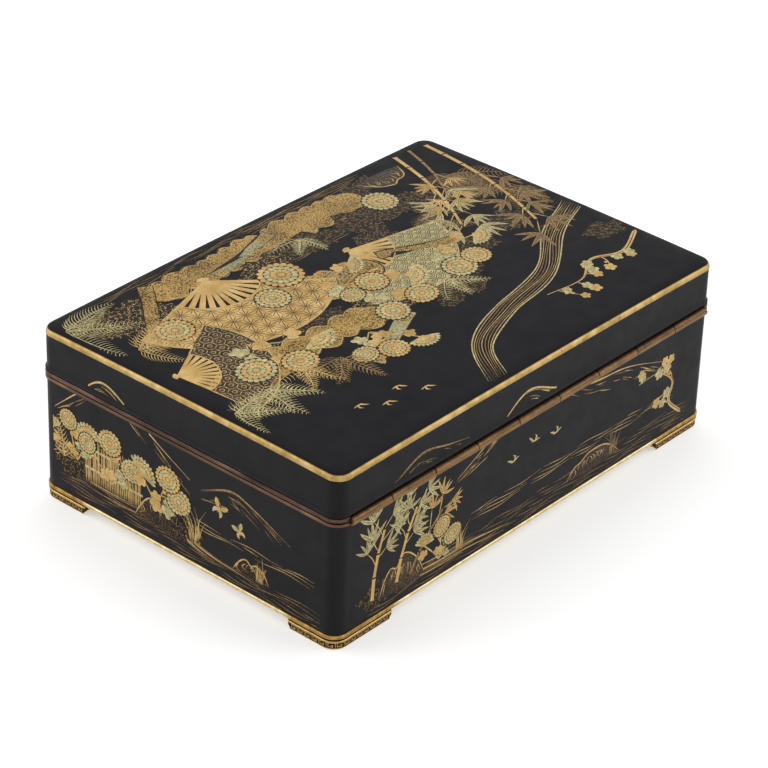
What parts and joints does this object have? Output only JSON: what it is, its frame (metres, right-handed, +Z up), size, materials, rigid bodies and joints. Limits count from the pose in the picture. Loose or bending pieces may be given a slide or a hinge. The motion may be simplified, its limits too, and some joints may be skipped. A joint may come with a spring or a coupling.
{
  "type": "damascened metal box with hinged lid",
  "caption": "Low rectangular box of blackened iron with gilt edge mouldings, a gently domed lid on a knuckle hinge along the back, a gilt lining and bracket feet.",
  "frame": {"origin": "on the surface that the box stands on, under the middle of its bounding box", "axes": "+X along the length, +Y towards the back with the hinge, +Z up"},
  "size_m": [0.1492, 0.1046, 0.052],
  "materials": {
    "black_iron": "blackened, satin, inlaid with gold and pale gold lines",
    "gold": "fire gilt, softly worn",
    "copper_gilt": "copper with worn gilding",
    "lining_gilt": "gilt copper sheet, satin",
    "pin_steel": "drawn wire"
  },
  "bodies": {
    "base": {"base_bottom_rail": "gold", "base_floor": "black_iron", "base_wall": "black_iron", "base_rim": "copper_gilt", "base_lining": "lining_gilt", "base_lip": "lining_gilt", "foot_front_left": "gold", "foot_back_left": "gold", "foot_front_right": "gold", "foot_back_right": "gold", "hinge_end_tube_left": "gold", "hinge_end_tube_right": "gold", "hinge_base_knuckle_1": "gold", "hinge_base_knuckle_2": "gold", "hinge_base_knuckle_3": "gold", "hinge_base_knuckle_4": "gold", "hinge_base_strip": "copper_gilt", "hinge_pin": "pin_steel"},
    "lid": {"lid_rim": "copper_gilt", "lid_wall": "black_iron", "lid_edge_band": "gold", "lid_top": "black_iron", "lid_lining": "lining_gilt", "hinge_lid_knuckle_1": "gold", "hinge_lid_knuckle_2": "gold", "hinge_lid_knuckle_3": "gold", "hinge_lid_strip": "copper_gilt"}
  },
  "joints": [
    {"name": "lid_hinge", "type": "hinge", "parent": "base", "child": "lid", "pos_m": [0, 0.05105, 0.0369], "axis": [-1, 0, 0], "range_deg": [0, 100]}
  ]
}
